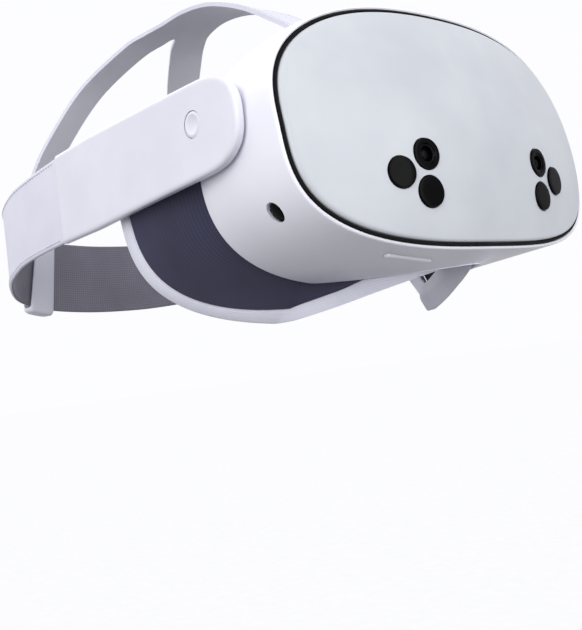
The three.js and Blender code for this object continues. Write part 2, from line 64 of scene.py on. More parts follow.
def linear(hexColour):
    parts = [int(hexColour[i:i + 2], 16) / 255 for i in (1, 3, 5)]
    return [c / 12.92 if c <= 0.04045 else ((c + 0.055) / 1.055) ** 2.4 for c in parts] + [1.0]


def addNode(tree, kind, links=None, **settings):
    node = tree.nodes.new(kind)
    for key, value in settings.items():
        if hasattr(node, key):
            setattr(node, key, value)
        else:
            node.inputs[key.replace("_", " ")].default_value = value
    for socket, source in (links or {}).items():
        tree.links.new(source, node.inputs[socket])
    return node


def startMaterial(name, roughness, **shader):
    material = bpy.data.materials.new(name)
    material.use_nodes = True
    tree = material.node_tree
    bsdf = tree.nodes["Principled BSDF"]
    bsdf.inputs["Roughness"].default_value = roughness
    for key, value in shader.items():
        bsdf.inputs[key.replace("_", " ")].default_value = value
    where = addNode(tree, "ShaderNodeTexCoord").outputs["Object"]
    return material, tree, bsdf, where


def twoTone(tree, factor, first, second, low=0.35, high=0.65):
    ramp = addNode(tree, "ShaderNodeValToRGB", {"Fac": factor})
    ramp.color_ramp.elements[0].position = low
    ramp.color_ramp.elements[0].color = linear(first)
    ramp.color_ramp.elements[1].position = high
    ramp.color_ramp.elements[1].color = linear(second)
    return ramp.outputs["Color"]


def mouldedPlastic(name, first, second, roughness, grainMm=0.9, depth=0.012, **shader):
    material, tree, bsdf, where = startMaterial(name, roughness, **shader)
    cloud = addNode(tree, "ShaderNodeTexNoise", {"Vector": where}, Scale=28.0, Detail=3.0)
    grain = addNode(tree, "ShaderNodeTexNoise", {"Vector": where}, Scale=1000 / grainMm, Detail=2.0)
    tree.links.new(twoTone(tree, cloud.outputs["Fac"], first, second), bsdf.inputs["Base Color"])
    spread = addNode(tree, "ShaderNodeMapRange", {"Value": cloud.outputs["Fac"]})
    spread.inputs["To Min"].default_value = roughness - 0.05
    spread.inputs["To Max"].default_value = roughness + 0.06
    tree.links.new(spread.outputs["Result"], bsdf.inputs["Roughness"])
    bump = addNode(tree, "ShaderNodeBump", {"Height": grain.outputs["Fac"]},
                   Strength=0.25, Distance=depth / 1000)
    tree.links.new(bump.outputs["Normal"], bsdf.inputs["Normal"])
    return material


def wovenCloth(name, first, second, threadMm, roughness=0.85, depth=0.12, **shader):
    material, tree, bsdf, where = startMaterial(name, roughness, **shader)
    uv = addNode(tree, "ShaderNodeUVMap", uv_map="cloth").outputs["UV"]
    warp = addNode(tree, "ShaderNodeTexWave", {"Vector": uv}, bands_direction="X", Distortion=0.6, Detail=1.0)
    weft = addNode(tree, "ShaderNodeTexWave", {"Vector": uv}, bands_direction="Y", Distortion=0.6, Detail=1.0)
    for wave in (warp, weft):
        # at scale 1 a wave is 2 pi / 20 units long
        wave.inputs["Scale"].default_value = 2 * math.pi * 1000 / threadMm / 20
    weave = addNode(tree, "ShaderNodeMath", {0: warp.outputs["Fac"], 1: weft.outputs["Fac"]},
                    operation="MAXIMUM")
    fuzz = addNode(tree, "ShaderNodeTexNoise", {"Vector": where}, Scale=900.0, Detail=3.0)
    cloud = addNode(tree, "ShaderNodeTexNoise", {"Vector": where}, Scale=35.0, Detail=2.0)
    shade = addNode(tree, "ShaderNodeMath", {0: weave.outputs["Value"], 1: cloud.outputs["Fac"]},
                    operation="MULTIPLY")
    tree.links.new(twoTone(tree, shade.outputs["Value"], first, second, 0.1, 0.6), bsdf.inputs["Base Color"])
    height = addNode(tree, "ShaderNodeMath", {0: weave.outputs["Value"], 1: fuzz.outputs["Fac"]},
                     operation="ADD")
    bump = addNode(tree, "ShaderNodeBump", {"Height": height.outputs["Value"]},
                   Strength=0.35, Distance=depth / 1000)
    tree.links.new(bump.outputs["Normal"], bsdf.inputs["Normal"])
    return material


def darkGlass(name, first, second, roughness):
    material, tree, bsdf, where = startMaterial(name, roughness, Coat_Weight=0.02, Coat_Roughness=0.1,
                                              IOR=1.4, Specular_IOR_Level=0.06)
    cloud = addNode(tree, "ShaderNodeTexNoise", {"Vector": where}, Scale=90.0, Detail=2.0)
    tree.links.new(twoTone(tree, cloud.outputs["Fac"], first, second), bsdf.inputs["Base Color"])
    bump = addNode(tree, "ShaderNodeBump", {"Height": cloud.outputs["Fac"]}, Strength=0.05, Distance=0.00001)
    tree.links.new(bump.outputs["Normal"], bsdf.inputs["Normal"])
    return material


def brushedMetal(name, first, second, roughness, stretch=(1, 1, 12)):
    material, tree, bsdf, where = startMaterial(name, roughness, Metallic=1.0)
    mapping = addNode(tree, "ShaderNodeMapping", {"Vector": where}, Scale=stretch)
    streak = addNode(tree, "ShaderNodeTexNoise", {"Vector": mapping.outputs["Vector"]}, Detail=4.0)
    streak.inputs["Scale"].default_value = 400.0
    tree.links.new(twoTone(tree, streak.outputs["Fac"], first, second), bsdf.inputs["Base Color"])
    bump = addNode(tree, "ShaderNodeBump", {"Height": streak.outputs["Fac"]}, Strength=0.2, Distance=0.00002)
    tree.links.new(bump.outputs["Normal"], bsdf.inputs["Normal"])
    return material


finishes = {
    # moulded ABS, spark-eroded mould: even, faintly lavender white with a soft sheen
    "whiteAbs": mouldedPlastic("moulded white ABS", "#e8e8f0", "#eeeef5", 0.4),
    # the same plastic in a cool light grey, a little glossier
    "coverAbs": mouldedPlastic("moulded light grey ABS", "#bcc0c5", "#c4c8cc", 0.36),
    "armAbs": mouldedPlastic("moulded off-white ABS", "#dedee8", "#e5e5ee", 0.44),
    # nylon with glass fibre in it: black, with a fine grain
    "blackNylon": mouldedPlastic("moulded black glass-filled nylon", "#151518", "#1f1f23", 0.55, 0.7, 0.03),
    # soft black rubber that reflects little
    "gasketRubber": mouldedPlastic("moulded black silicone rubber", "#040405", "#08080a", 0.75, 0.6, 0.02,
                                  Specular_IOR_Level=0.15),
    # dark acrylic over the cameras
    "windowGlass": darkGlass("tinted acrylic window", "#030304", "#070709", 0.16),
    # polyester knit bonded to the seal frame: dark indigo, matt
    "sealCloth": wovenCloth("woven dark polyester", "#17172a", "#2a2a48", 1.1, 0.8, 0.12,
                            Sheen_Weight=0.5, Sheen_Roughness=0.35, Sheen_Tint=(0.55, 0.5, 0.95, 1)),
    # knit glued over foam
    "cushionKnit": wovenCloth("knitted polyester over foam", "#c9cad6", "#e4e5ee", 1.0, 0.82, 0.12,
                              Sheen_Weight=0.2),
    # elastic webbing, its threads drawn 1.2 mm apart so that they show
    "webbing": wovenCloth("elastic polyester webbing", "#d2d2de", "#dfdfea", 1.2, 0.7, 0.06, Sheen_Weight=0.1),
    # the rear of the webbing, brushed to a rougher nap and painted a darker grey: painted shade from the visor
    # above it
    "webbingShadedBack": wovenCloth("webbing back with painted shade", "#6f6d78", "#8a8894", 1.4, 0.9, 0.14,
                              Sheen_Weight=0.3),
    # the underside of the top strap: the same pale webbing, painted lighter as painted light that stands in for
    # light from below
    "crownUndersidePaintedLight": wovenCloth("top strap underside with painted light", "#dddce4", "#ebebf1", 1.2, 0.85, 0.1, Sheen_Weight=0.2),
    # sewing thread, a shade darker than the webbing
    "thread": wovenCloth("polyester sewing thread", "#bfc0cc", "#dcdde6", 0.5, 0.7, 0.05),
    # bright zinc plating on screws and rail
    "steel": brushedMetal("zinc-plated steel", "#a5a7aa", "#c2c4c6", 0.32),
    # dull cast alloy of the inner frame
    "magnesium": brushedMetal("die-cast magnesium", "#8d9094", "#a3a6a9", 0.5, (1, 1, 1)),
    # green lacquer of the circuit board
    "solderMask": mouldedPlastic("green solder mask on glass epoxy", "#0d3a24", "#15523a", 0.35, 1.6, 0.05),
}


def clearLens():
    # moulded cyclic olefin: clear, with concentric Fresnel steps drawn 0.8 mm apart
    material, tree, bsdf, where = startMaterial("moulded clear lens", 0.06, IOR=1.53, Transmission_Weight=0.55)
    uv = addNode(tree, "ShaderNodeUVMap", uv_map="cloth").outputs["UV"]
    steps = addNode(tree, "ShaderNodeTexWave", {"Vector": uv}, bands_direction="X",
                    wave_profile="SAW", Scale=390.0)
    tint = addNode(tree, "ShaderNodeTexNoise", {"Vector": where}, Scale=60.0)
    tree.links.new(twoTone(tree, tint.outputs["Fac"], "#4d5868", "#66727f"), bsdf.inputs["Base Color"])
    bump = addNode(tree, "ShaderNodeBump", {"Height": steps.outputs["Fac"]}, Strength=0.3, Distance=0.0001)
    tree.links.new(bump.outputs["Normal"], bsdf.inputs["Normal"])
    return material


finishes["clearLens"] = clearLens()
slotFinish = {
    "cover_panel": "coverAbs", "window_glass": "windowGlass", "camera_body": "blackNylon",
    "gasket_rubber": "gasketRubber", "housing_shell": "whiteAbs", "control_caps": "whiteAbs",
    "seal_frame": "sealCloth", "cushion_fabric": "cushionKnit", "optics_black": "blackNylon",
    "lens_glass": "clearLens", "steel_parts": "steel", "chassis_alloy": "magnesium",
    "circuit_board": "solderMask", "arm_shell": "armAbs", "strap_elastic": "webbing",
}
for entry in frame["record"]["subparts"]:
    target = nodes[entry["node"]]
    target.data.materials.clear()
    target.data.materials.append(finishes[slotFinish[entry["material_slot"]]])
print("materials ready")


# Helpers that make, cut and place meshes.

def makeObject(name, points, faces, finish, uv=None, sharp=40, facesSecond=None, second=None):
    mesh = bpy.data.meshes.new(name)
    mesh.from_pydata(place(points).tolist(), [], [list(map(int, f)) for f in faces])
    layer = mesh.uv_layers.new(name="cloth")
    if uv is not None:
        flat = np.asarray(uv, float) / 1000
        index = np.empty(len(mesh.loops), int)
        mesh.loops.foreach_get("vertex_index", index)
        layer.data.foreach_set("uv", flat[index].astype(np.float32).ravel())
    mesh.materials.append(finishes[finish])
    if second:
        mesh.materials.append(finishes[second])
        for polygon in mesh.polygons:
            polygon.material_index = int(facesSecond[polygon.index])
    made = bpy.data.objects.new(name, mesh)
    bpy.context.scene.collection.objects.link(made)
    tidyMesh(made, sharp)
    return made


def tidyMesh(made, sharp=40):
    work = bmesh.new()
    work.from_mesh(made.data)
    bmesh.ops.remove_doubles(work, verts=work.verts, dist=1e-6)
    bmesh.ops.recalc_face_normals(work, faces=work.faces)
    work.to_mesh(made.data)
    work.free()
    made.data.polygons.foreach_set("use_smooth", [True] * len(made.data.polygons))
    made.data.set_sharp_from_angle(angle=math.radians(sharp))
    made.data.update()


def rowLengths(rings):
    # distance round each ring and along the rings, for a cloth pattern that follows the surface
    rings = np.asarray(rings, float)
    around = np.linalg.norm(np.diff(rings, axis=1), axis=2).cumsum(axis=1)
    around = np.c_[np.zeros(len(rings)), around]
    along = np.linalg.norm(np.diff(rings, axis=0), axis=2).mean(axis=1).cumsum()
    along = np.r_[0, along]
    return np.stack([around, np.repeat(along[:, None], rings.shape[1], 1)], axis=2).reshape(-1, 2)


def loft(name, rings, finish, wrap=False, caps=True, sharp=40, secondRows=None, second=None, ownUv=None):
    rings = np.asarray(rings, float)
    count, size = rings.shape[:2]
    points = rings.reshape(-1, 3)
    uv = rowLengths(rings) if ownUv is None else ownUv
    faces, marks = [], []
    for i in range(count if wrap else count - 1):
        k = (i + 1) % count
        for j in range(size):
            n = (j + 1) % size
            faces.append([i * size + j, i * size + n, k * size + n, k * size + j])
            marks.append(secondRows(i, j) if secondRows else 0)
    if caps and not wrap:
        for row in (0, count - 1):
            middle = points[row * size:(row + 1) * size].mean(axis=0)
            points = np.vstack([points, middle])
            uv = np.vstack([uv, uv[row * size]])
            for j in range(size):
                faces.append([row * size + j, row * size + (j + 1) % size, len(points) - 1])
                marks.append(0)
    return makeObject(name, points, faces, finish, uv, sharp, marks, second)


def outlinePoints(halfWidth, top, bottom, topPower, bottomPower, count):
    # evenly spaced points of a rounded outline, the first at the bottom centre
    angle = np.linspace(0, 2 * math.pi, 6001) - math.pi / 2
    c, s = np.cos(angle), np.sin(angle)
    power = np.where(s > 0, 2 / topPower, 2 / bottomPower)
    x = halfWidth * np.sign(c) * np.abs(c) ** power
    z = np.where(s > 0, top, bottom) * np.sign(s) * np.abs(s) ** power
    distance = np.r_[0, np.hypot(np.diff(x), np.diff(z)).cumsum()]
    wanted = np.linspace(0, distance[-1], count + 1)[:-1]
    return np.c_[np.interp(wanted, distance, x), np.interp(wanted, distance, z)]


def smoothPath(points, count, dense=2000):
    # a Catmull-Rom curve through the points, resampled evenly
    p = np.asarray(points, float)
    padded = np.vstack([2 * p[0] - p[1], p, 2 * p[-1] - p[-2]])
    rows = []
    for i in range(1, len(padded) - 2):
        a, b, c, d = padded[i - 1:i + 3]
        t = np.linspace(0, 1, dense // (len(p) - 1), endpoint=False)[:, None]
        rows.append(0.5 * (2 * b + (c - a) * t + (2 * a - 5 * b + 4 * c - d) * t ** 2
                           + (3 * b - a - 3 * c + d) * t ** 3))
    curve = np.vstack(rows + [p[-1:]])
    distance = np.r_[0, np.linalg.norm(np.diff(curve, axis=0), axis=1).cumsum()]
    wanted = np.linspace(0, distance[-1], count)
    return np.stack([np.interp(wanted, distance, curve[:, k]) for k in range(p.shape[1])], axis=1)


def unit(v):
    return v / np.maximum(np.linalg.norm(v, axis=-1, keepdims=True), 1e-9)


def frames(path, outwardOf):
    tangent = unit(np.gradient(path, axis=0))
    outward = np.asarray([outwardOf(p, t) for p, t in zip(path, tangent)], float)
    up = unit(np.cross(tangent, outward))
    return tangent, unit(np.cross(up, tangent)), up


def flatSection(half, thick, soft, steps=6):
    # a flat section with rounded corners, as (outward, across) pairs
    t = thick / 2
    soft = min(soft, t * 0.98, half * 0.9)
    a, b = t - soft, half - soft
    corners = [(a, b, 0), (-a, b, 90), (-a, -b, 180), (a, -b, 270)]
    section = []
    for o, u, start in corners:
        for k in range(steps + 1):
            a = math.radians(start + 90 * k / steps)
            section.append((o + soft * math.cos(a), u + soft * math.sin(a)))
    return np.array(section)


def lathe(name, profile, centre, axis, finish, sides=72, sharp=35):
    # profile is (radius, height along the axis); it may start and end at radius 0
    rings = []
    for r, h in profile:
        angle = np.linspace(0, 2 * math.pi, sides, endpoint=False)
        a, b = r * np.cos(angle), r * np.sin(angle)
        level = np.full(sides, h)
        row = {"x": (level, a, b), "y": (a, level, b), "z": (a, b, level)}[axis]
        rings.append(np.stack(row, axis=1) + np.asarray(centre, float))
    radial = np.repeat([[r, h] for r, h in profile], sides, axis=0).reshape(-1, 2)
    closed = profile[0][0] > 0.01 and profile[-1][0] > 0.01
    return loft(name, rings, finish, wrap=closed, caps=not closed, sharp=sharp,
                ownUv=np.asarray(radial, float))


def bevelledBox(name, centre, size, radius, finish, steps=4):
    work = bmesh.new()
    bmesh.ops.create_cube(work, size=1.0)
    for v in work.verts:
        v.co = Vector(place([[v.co[k] * size[k] + centre[k] for k in range(3)]])[0])
    bmesh.ops.bevel(work, geom=work.edges[:], offset=radius / 1000, segments=steps, affect="EDGES", profile=0.5)
    mesh = bpy.data.meshes.new(name)
    work.to_mesh(mesh)
    work.free()
    mesh.uv_layers.new(name="cloth")
    mesh.materials.append(finishes[finish])
    made = bpy.data.objects.new(name, mesh)
    bpy.context.scene.collection.objects.link(made)
    tidyMesh(made, 35)
    return made


def carve(made, tools, sharp=35):
    # cuts the tools out of a piece and keeps the result as a plain mesh
    for tool in tools:
        cutter = made.modifiers.new("cut", "BOOLEAN")
        cutter.operation = "DIFFERENCE"
        cutter.solver = "EXACT"
        cutter.object = tool
    bakeModifiers(made)
    for tool in tools:
        bpy.data.objects.remove(tool)
    tidyMesh(made, sharp)
    return made


def bakeModifiers(made):
    graph = bpy.context.evaluated_depsgraph_get()
    result = bpy.data.meshes.new_from_object(made.evaluated_get(graph))
    made.modifiers.clear()
    made.data = result


def mirrorCopy(made, name):
    other = made.copy()
    other.data = made.data.copy()
    other.name = name
    bpy.context.scene.collection.objects.link(other)
    for v in other.data.vertices:
        v.co.x = -v.co.x
    other.data.flip_normals()
    return other


def settle(made, body, slotName, *replaced):
    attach(made, body)
    if replaced:
        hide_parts(*replaced)
    return made


# Front cover, windows and housing.

coverSizes = {
    "halfWidth": 87.4, "top": 48.9, "bottom": 46.4, "topPower": 2.63, "bottomPower": 3.03,
    "sideBow": 16.8, "sideFlat": 0.73, "tallBow": 7.3, "bowHeight": 44.65, "foremostZ": -18.2,
    "thickness": 2.2, "edgeRadius": 1.1,
}
windowSizes = {
    "radius": 5.95, "innerX": 34.9, "outerX": 47.5, "topZ": -13.5, "middleZ": -20.4, "bottomZ": -27.6,
    "gap": 0.3, "proud": 0.25,
}
sideCameraSizes = {"x": 84, "y": 33, "z": -29.5, "hole": 3.5, "lean": 0.7}
pivotSizes = {"y": 61, "z": 10, "post": 4.3, "capSeat": 5.3}
controlSizes = {
    "rocker": ((-34, 19, -47.9), (24, 3, 5)), "rockerSlot": (24.6, 3.6, 14), "rockerSlope": 0.108,
    "power": ((87, 42, -24), (5, 12, 4)), "powerSlot": ((90, 42, -24), (12, 12.6, 4.6)),
    "socket": ((88, 57, -24), (16, 3.8, 9.6)),
}
housingSizes = {
    "width": (90.3, 91.0, 88.0), "top": (51.8, 51.3, 44.0), "bottom": (49.3, 51.4, 53.6),
    "sideRear": 72.0, "bottomRear": 67.0, "rearTurnsAt": -10.0, "rearTurnHeight": 42.0, "rearTurnPower": 1.6,
    "noseHalf": 36.0, "noseDepth": 53.0, "nosePower": 1.1, "noseRound": 6.0, "wall": 2.4, "edgeRadius": 1.2,
}
aroundCount = 240


def coverOutline(share=1.0, grow=0.0, count=aroundCount):
    s = coverSizes
    return outlinePoints(s["halfWidth"] * share + grow, s["top"] * share + grow, s["bottom"] * share + grow,
                         s["topPower"], s["bottomPower"], count)


def faceDepth(x, z):
    s = coverSizes
    u = (x / s["halfWidth"]) ** 2
    side = s["sideBow"] * (s["sideFlat"] * u + (1 - s["sideFlat"]) * u * u)
    return side + s["tallBow"] * ((z - s["foremostZ"]) / s["bowHeight"]) ** 2


def coverRing(share, grow, back):
    p = coverOutline(share, grow)
    return np.c_[p[:, 0], faceDepth(p[:, 0], p[:, 1]) + back, p[:, 1]]


def cylinderTool(axis, start, end, a, b, radius, sides=64):
    profile = [(0.0, start), (radius, start), (radius, end), (0.0, end)]
    centre = {"x": (0, a, b), "y": (a, 0, b), "z": (a, b, 0)}[axis]
    return lathe("cutter", profile, centre, axis, "blackNylon", sides)


def boxTool(centre, size, radius=0.6):
    return bevelledBox("cutter", centre, size, radius, "blackNylon", 2)


def windowSpots():
    w = windowSizes
    for side, sign in (("right", -1), ("left", 1)):
        yield side, "top", sign * w["innerX"], w["topZ"]
        yield side, "outer", sign * w["outerX"], w["middleZ"]
        yield side, "bottom", sign * w["innerX"], w["bottomZ"]


def makeCover():
    t, r = coverSizes["thickness"], coverSizes["edgeRadius"]
    front = [coverRing(k, 0, 0) for k in (0.06, 0.2, 0.35, 0.5, 0.64, 0.76, 0.86, 0.93, 0.97)]
    rim = [coverRing(1, -r * (1 - math.sin(a)), r * (1 - math.cos(a))) for a in np.linspace(0, math.pi / 2, 6)]
    back = [coverRing(1, 0, t), coverRing(1, -3, t)] + [coverRing(k, 0, t) for k in (0.8, 0.5, 0.2)]
    cover = loft("frontCover", front + rim + back, "coverAbs", sharp=50)
    tools = [cylinderTool("y", -6, 40, x, z, windowSizes["radius"] + windowSizes["gap"], 72)
             for _, _, x, z in windowSpots()]
    carve(cover, tools, 50)
    settle(cover, "visor", "cover_panel", "front_cover")


def makeWindows():
    w = windowSizes
    for side, spot, x, z in windowSpots():
        front = faceDepth(x - math.copysign(w["radius"] * 0.5, x), z) - w["proud"]
        r = w["radius"]
        lean = faceDepth(np.array([x - r, x + r]), np.array([z, z]))
        slope = (lean[1] - lean[0]) / (2 * r)
        flat = [(0, 0.0), (r * 0.55, 0.0), (r * 0.9, 0.0), (r - 0.22, 0.04), (r - 0.05, 0.16), (r, 0.4),
                (r, 2.6), (0, 2.6)]
        eye = [(0, 1.1), (1.2, 1.25), (2.2, 1.7), (2.35, 1.9), (3.0, 1.95), (3.1, 0.75),
               (3.3, 0.62), (3.75, 0.6), (3.9, 0.3), (4.1, 0.02), (4.4, 0.0)] + flat[2:]
        profile = eye if spot == "top" else flat
        glass = lathe(f"windowGlass_{side}_{spot}", profile, (x, front, z), "y", "windowGlass", 72)
        for v in glass.data.vertices:
            share = max(0.0, 1 - ((v.co.y * 1000 + frontToMiddle) - front) / 2.6)
            v.co.y += ((v.co.x * 1000 - x) * slope) * share / 1000
        settle(glass, "visor", "window_glass", f"sensor_window_{side}_{spot}")


def threeWay(values, s):
    a, b, c = values
    return a * (1 - s) * (1 - 2 * s) + b * 4 * s * (1 - s) + c * s * (2 * s - 1)


def roundedDistance(x, radius):
    return np.hypot(x, radius) - radius


def housingRear(x, z):
    h = housingSizes
    down = np.clip((h["rearTurnsAt"] - z) / h["rearTurnHeight"], 0, None)
    edge = h["sideRear"] - (h["sideRear"] - h["bottomRear"]) * np.minimum(1, down ** h["rearTurnPower"])
    across = roundedDistance(x, h["noseRound"]) / h["noseHalf"]
    nose = np.where(z < 0, np.clip(1 - across, 0, 1) ** h["nosePower"], 0)
    return edge - h["noseDepth"] * nose


def housingRing(share, inset=0.0, back=0.0):
    h = housingSizes
    w, t, b = [threeWay(h[k], share) - inset for k in ("width", "top", "bottom")]
    p = outlinePoints(w, t, b, coverSizes["topPower"], coverSizes["bottomPower"], aroundCount)
    near = faceDepth(p[:, 0], p[:, 1]) + coverSizes["thickness"] * 0.5
    far = housingRear(p[:, 0], p[:, 1])
    return np.c_[p[:, 0], near + (far - near) * share + back, p[:, 1]]


def sloped(made):
    # the rocker and its slot follow the slope of the housing's underside
    middle = Vector(place([controlSizes["rocker"][0]])[0])
    turn = Matrix.Rotation(controlSizes["rockerSlope"], 4, "Y")
    made.data.transform(Matrix.Translation(middle) @ turn @ Matrix.Translation(-middle))
    return made


def makeHousing():
    r, wall = housingSizes["edgeRadius"], housingSizes["wall"]
    eye, pivot, control = sideCameraSizes, pivotSizes, controlSizes
    lipRound = [housingRing(0, 0.8 * (1 - math.sin(a)), -0.8 * math.cos(a) + 0.2)
                for a in np.linspace(0, math.pi / 2, 5)]
    outer = [housingRing(s) for s in (0.04, 0.09, 0.16, 0.24, 0.34, 0.44, 0.54, 0.64, 0.74, 0.83, 0.9, 0.95)]
    rearRound = [housingRing(1, r * (1 - math.cos(a)), -r * (1 - math.sin(a)))
                 for a in np.linspace(0, math.pi / 2, 6)]
    inner = [housingRing(s, wall) for s in (1, 0.8, 0.6, 0.45, 0.32)] + [housingRing(0, 1.3)]
    shell = loft("mainHousing", lipRound + outer + rearRound + inner, "whiteAbs", wrap=True, sharp=50)
    strapMouth = boxTool((0, 40.5, 45), (34, 29, 30), 3)
    tools = [cylinderTool("x", -100, 100, eye["y"], eye["z"], eye["hole"]),
             cylinderTool("x", -100, 100, pivot["y"], pivot["z"], pivot["post"]), strapMouth,
             sloped(boxTool(control["rocker"][0], control["rockerSlot"])),
             boxTool(*control["powerSlot"]), boxTool(*control["socket"])]
    carve(shell, tools, 50)
    settle(shell, "visor", "housing_shell", "main_housing")
    section = ((0.3, 1.1), (0.45, 0.75), (0.8, 0.62), (1.15, 0.75), (1.3, 1.1), (1.3, 3.1), (0.3, 3.1))
    gasket = [coverRing(1, outward, back) for outward, back in section]
    settle(loft("coverGasket", gasket, "gasketRubber", wrap=True), "visor", "gasket_rubber", "cover_gasket")


def makeSideCameras():
    s = sideCameraSizes
    for side, sign in (("right", -1), ("left", 1)):
        profile = [(0, 0.5), (1.0, 0.45), (2.0, 0.2), (2.9, -0.1), (3.2, -0.5), (3.2, -9), (0, -9)]
        outward = [(r, sign * (s["x"] + h)) for r, h in profile]
        eye = lathe(f"sideCameraGlass_{side}", outward, (0, s["y"], s["z"]), "x", "windowGlass", 48)
        for v in eye.data.vertices:
            if abs(v.co.x) * 1000 > 80:
                v.co.x += sign * s["lean"] * (v.co.z * 1000 - floorToEye - s["z"]) / 1000
        settle(eye, "visor", "window_glass", f"side_camera_{side}")


# Buttons.

def makeControls():
    centre, size = controlSizes["rocker"]
    rocker = sloped(bevelledBox("volumeRockerCap", centre, size, 0.9, "whiteAbs"))
    settle(rocker, "volume_rocker", "control_caps", "volume_rocker")
    centre, size = controlSizes["power"]
    power = bevelledBox("powerButtonCap", centre, size, 1.1, "whiteAbs")
    settle(power, "power_button", "control_caps", "power_button")


# Face seal and cushion.

sealSizes = {
    "halfWidth": 88.0, "top": 43.0, "bottom": 69.0, "topPower": 2.6, "bottomPower": 3.7,
    "depth": 84.0, "wrap": 52.0, "wrapPower": 2.2,
    "tilt": 13.0, "tiltFrom": 5, "tiltHeight": 60, "tiltPower": 1.3,
    "noseHalf": 42.0, "noseRise": 17.0, "noseFront": 19.0, "nosePower": 1.15, "noseRound": 5.0,
    "band": 9.0, "wall": 2.2, "radial": 10.0,
}


def sealRear():
    s = sealSizes
    p = outlinePoints(s["halfWidth"], s["top"], s["bottom"], s["topPower"], s["bottomPower"], aroundCount)
    x, z = p[:, 0], p[:, 1].copy()

    def depthAt(x, z):
        lean = s["tilt"] * np.clip((-z - s["tiltFrom"]) / s["tiltHeight"], 0, None) ** s["tiltPower"]
        return s["depth"] + s["wrap"] * (np.abs(x) / s["halfWidth"]) ** s["wrapPower"] - lean

    y = depthAt(x, z)
    across = roundedDistance(x, s["noseRound"]) / s["noseHalf"]
    edge = depthAt(s["noseHalf"], -s["bottom"])
    beside = (z < 0) & (across < 1)
    blendIn = np.clip(across, 0, 1)
    y = np.where(beside, s["noseFront"] + (edge - s["noseFront"]) * blendIn ** s["nosePower"], y)
    z = np.where(beside, z + s["noseRise"] * (1 - blendIn), z)
    return np.c_[x, y, z]


def towardsMiddle(ring, distance):
    inward = unit(np.c_[-ring[:, 0], np.zeros(len(ring)), 6 - ring[:, 2]])
    return ring + inward * distance


def makeSeal():
    s = sealSizes
    inset = housingSizes["wall"] + 0.7
    front = housingRing(1, inset + 1.4, -3)
    mouth = housingRing(1, inset, 0.5)
    rear = sealRear()
    span = np.linalg.norm(mouth - rear, axis=1)
    beside = np.where(rear[:, 2] < 0, np.clip((s["noseHalf"] - 6 - np.abs(rear[:, 0])) / 14, 0, 1), 0)
    beside = beside * beside * (3 - 2 * beside)
    width = s["band"] * (1 - beside) + (span - 1.5) * beside
    border = rear + (mouth - rear) * (np.minimum(width, span - 1.5) / span)[:, None]
    swell = unit(np.c_[mouth[:, 0], np.zeros(aroundCount), mouth[:, 2]])
    outer = [mouth + (border - mouth) * k + swell * 1.6 * math.sin(math.pi * k) * (1 - beside[:, None])
             for k in (0, 0.04, 0.15, 0.3, 0.45, 0.6, 0.75, 0.9, 1)]
    inner = [towardsMiddle(ring, s["wall"]) for ring in reversed(outer)]
    rings = [front] + outer + inner + [towardsMiddle(front, s["wall"])]
    shell = loft("sealShell", rings, "sealCloth", wrap=True, sharp=60)
    settle(shell, "visor", "seal_frame", "seal_shell")
    makeCushion(border, rear)


def makeCushion(border, rear):
    s = sealSizes
    depth = unit(rear - border)
    reach = np.linalg.norm(rear - border, axis=1)[:, None]
    inward = towardsMiddle(rear, 1) - rear
    middle, radius = 0.5, 0.5
    # over the nose the pad reaches further in, as a flap that keeps light out
    nearNose = np.clip((s["noseHalf"] - 12 - np.abs(rear[:, 0])) / 14, 0, 1)
    flap = 1 + 0.45 * np.where(rear[:, 2] < 0, nearNose, 0)[:, None]
    rings = []
    for a in np.linspace(0, 2 * math.pi, 28, endpoint=False):
        across = middle - radius * math.copysign(abs(math.cos(a)) ** 0.5, math.cos(a))
        along = 0.5 - 0.5 * math.copysign(abs(math.sin(a)) ** 0.5, math.sin(a))
        puff = 1 + 0.05 * math.sin(a) ** 2
        deep = border + depth * (0.35 + (reach - 0.35) * along)
        rings.append(deep + inward * across * s["radial"] * puff * flap)
    rings = [np.c_[r[:, 0], r[:, 1], np.maximum(r[:, 2], 0.2 - floorToEye)] for r in rings]
    cushion = loft("faceCushion", rings, "cushionKnit", wrap=True, sharp=80)
    settle(cushion, "visor", "cushion_fabric", "face_cushion")


# Head strap: arms, band, sliders and crown strap.

armSizes = {
    "tipY": 34.0, "taper": 0.17, "taperLength": 110.0, "endY": 178.0, "half": 21.0, "z": 7.6,
    "frontX": 94.0, "drawnIn": 2.5, "thickness": 4.2, "round": 24.0, "power": 2.6, "bevel": 1.7,
}
bandSizes = {"half": 20.5, "thickness": 2.2}
sliderSizes = {"at": -53.0, "width": 15.0, "border": 2.4, "play": 1.5}
crownSizes = {"half": 14.5, "branchHalf": 9.5, "thickness": 2.0}


def armX(y):
    s = armSizes
    behindPivot = np.clip((y - pivotSizes["y"]) / (s["endY"] - pivotSizes["y"]), 0, None)
    return s["frontX"] - s["drawnIn"] * behindPivot ** 1.6


def armHalf(y):
    s = armSizes
    t = np.clip((y - s["tipY"]) / s["round"], 0, 1)
    narrowed = 1 - s["taper"] * np.clip(1 - (y - s["tipY"]) / s["taperLength"], 0, 1)
    return s["half"] * narrowed * (1 - (1 - t) ** s["power"]) ** (1 / s["power"])


